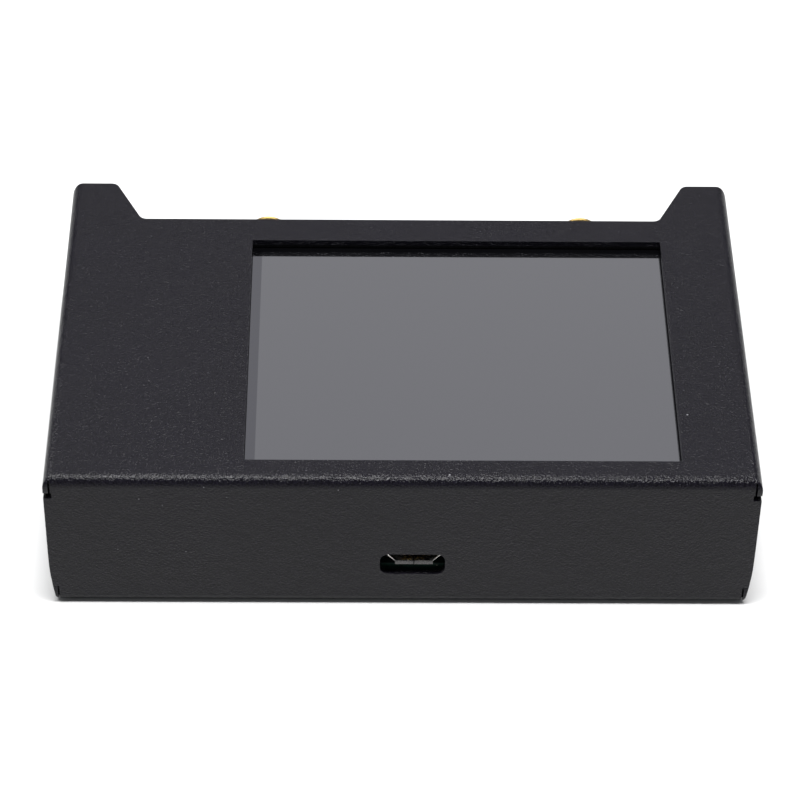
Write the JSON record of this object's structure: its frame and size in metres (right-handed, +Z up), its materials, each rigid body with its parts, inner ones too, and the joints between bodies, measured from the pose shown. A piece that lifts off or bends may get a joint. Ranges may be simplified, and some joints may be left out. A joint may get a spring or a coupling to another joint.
{
  "type": "vector network analyzer",
  "caption": "Handheld network analyzer: folded black sheet-metal case with a recessed landscape screen, two horns that guard the coaxial test ports, keys, a power lever and a USB socket.",
  "frame": {"origin": "middle of the case's bounding box in plan, on its underside", "axes": "+X along the wide side to the right as seen from the USB wall, +Y from the USB wall to the test ports, +Z up through the screen"},
  "size_m": [0.1, 0.065, 0.0245],
  "materials": {
    "cover_coat": "fine-textured black powder coat",
    "tray_coat": "fine-textured black powder coat",
    "black_screw": "black-oxide steel",
    "steel": "bright zinc",
    "foam": "black closed-cell foam",
    "touch_film": "glossy clear film over grey",
    "lcd_glass": "polished polariser",
    "light_guide": "clear acrylic with diffuser",
    "tin": "tin-plated sheet",
    "tape": "white adhesive tape",
    "polyimide": "amber polyimide",
    "cream_plastic": "moulded nylon",
    "black_plastic": "moulded LCP",
    "key_plastic": "fine-textured ABS",
    "solder_mask": "near-black green solder mask over FR4",
    "chip": "matte epoxy",
    "ferrite": "ferrite",
    "standoff_brass": "turned brass",
    "gold": "gold-plated brass",
    "ptfe": "PTFE",
    "led": "phosphor in clear resin",
    "clear_plastic": "clear polycarbonate",
    "cell_foil": "aluminium-laminate pouch",
    "wire_red": "PVC insulation"
  },
  "bodies": {
    "case": {"top_cover": "cover_coat", "bottom_tray": "tray_coat", "standoff_screws": "black_screw", "lip_screws": "black_screw", "lip_nuts": "steel", "rear_screws": "black_screw", "screen_gasket": "foam", "touch_panel": "touch_film", "lcd_glass": "lcd_glass", "light_guide": "light_guide", "backlight_tray": "tin", "display_pads": "foam", "display_ribbon": "polyimide", "ribbon_socket": "cream_plastic", "main_board": "solder_mask", "board_screws": "steel", "standoffs": "standoff_brass", "processor_chip": "chip", "radio_chips": "chip", "shield_fence": "tin", "shield_lid": "tin", "reference_crystal": "tin", "power_board": "solder_mask", "power_posts": "steel", "power_screws": "steel", "charger_chip": "chip", "power_inductor": "ferrite", "usb_shell": "tin", "usb_tongue": "black_plastic", "usb_contacts": "gold", "link_socket": "black_plastic", "link_header": "black_plastic", "link_pins": "gold", "port_1_jack": "gold", "port_1_insulator": "ptfe", "port_1_contact": "gold", "port_1_washer": "gold", "port_1_nut": "gold", "port_2_jack": "gold", "port_2_insulator": "ptfe", "port_2_contact": "gold", "port_2_washer": "gold", "port_2_nut": "gold", "power_switch_frame": "tin", "key_left_switch": "tin", "key_middle_switch": "tin", "key_right_switch": "tin", "status_leds": "led", "light_pipes": "clear_plastic", "battery_cell": "cell_foil", "battery_board": "polyimide", "battery_pad": "tape", "battery_socket": "cream_plastic", "battery_plug": "cream_plastic", "battery_leads": "wire_red"},
    "lever": {"power_switch_lever": "key_plastic"},
    "key_left": {"key_left_cap": "key_plastic"},
    "key_middle": {"key_middle_cap": "key_plastic"},
    "key_right": {"key_right_cap": "key_plastic"}
  },
  "joints": [
    {"name": "power_slide", "type": "slide", "parent": "case", "child": "lever", "axis": [1, 0, 0], "range_m": [0, 0.002]},
    {"name": "key_left_press", "type": "slide", "parent": "case", "child": "key_left", "axis": [0, -1, 0], "range_m": [0, 0.0005], "stiffness_N_per_m": 1800, "springref_m": -0.0003},
    {"name": "key_middle_press", "type": "slide", "parent": "case", "child": "key_middle", "axis": [0, -1, 0], "range_m": [0, 0.0005], "stiffness_N_per_m": 1800, "springref_m": -0.0003},
    {"name": "key_right_press", "type": "slide", "parent": "case", "child": "key_right", "axis": [0, -1, 0], "range_m": [0, 0.0005], "stiffness_N_per_m": 1800, "springref_m": -0.0003}
  ]
}
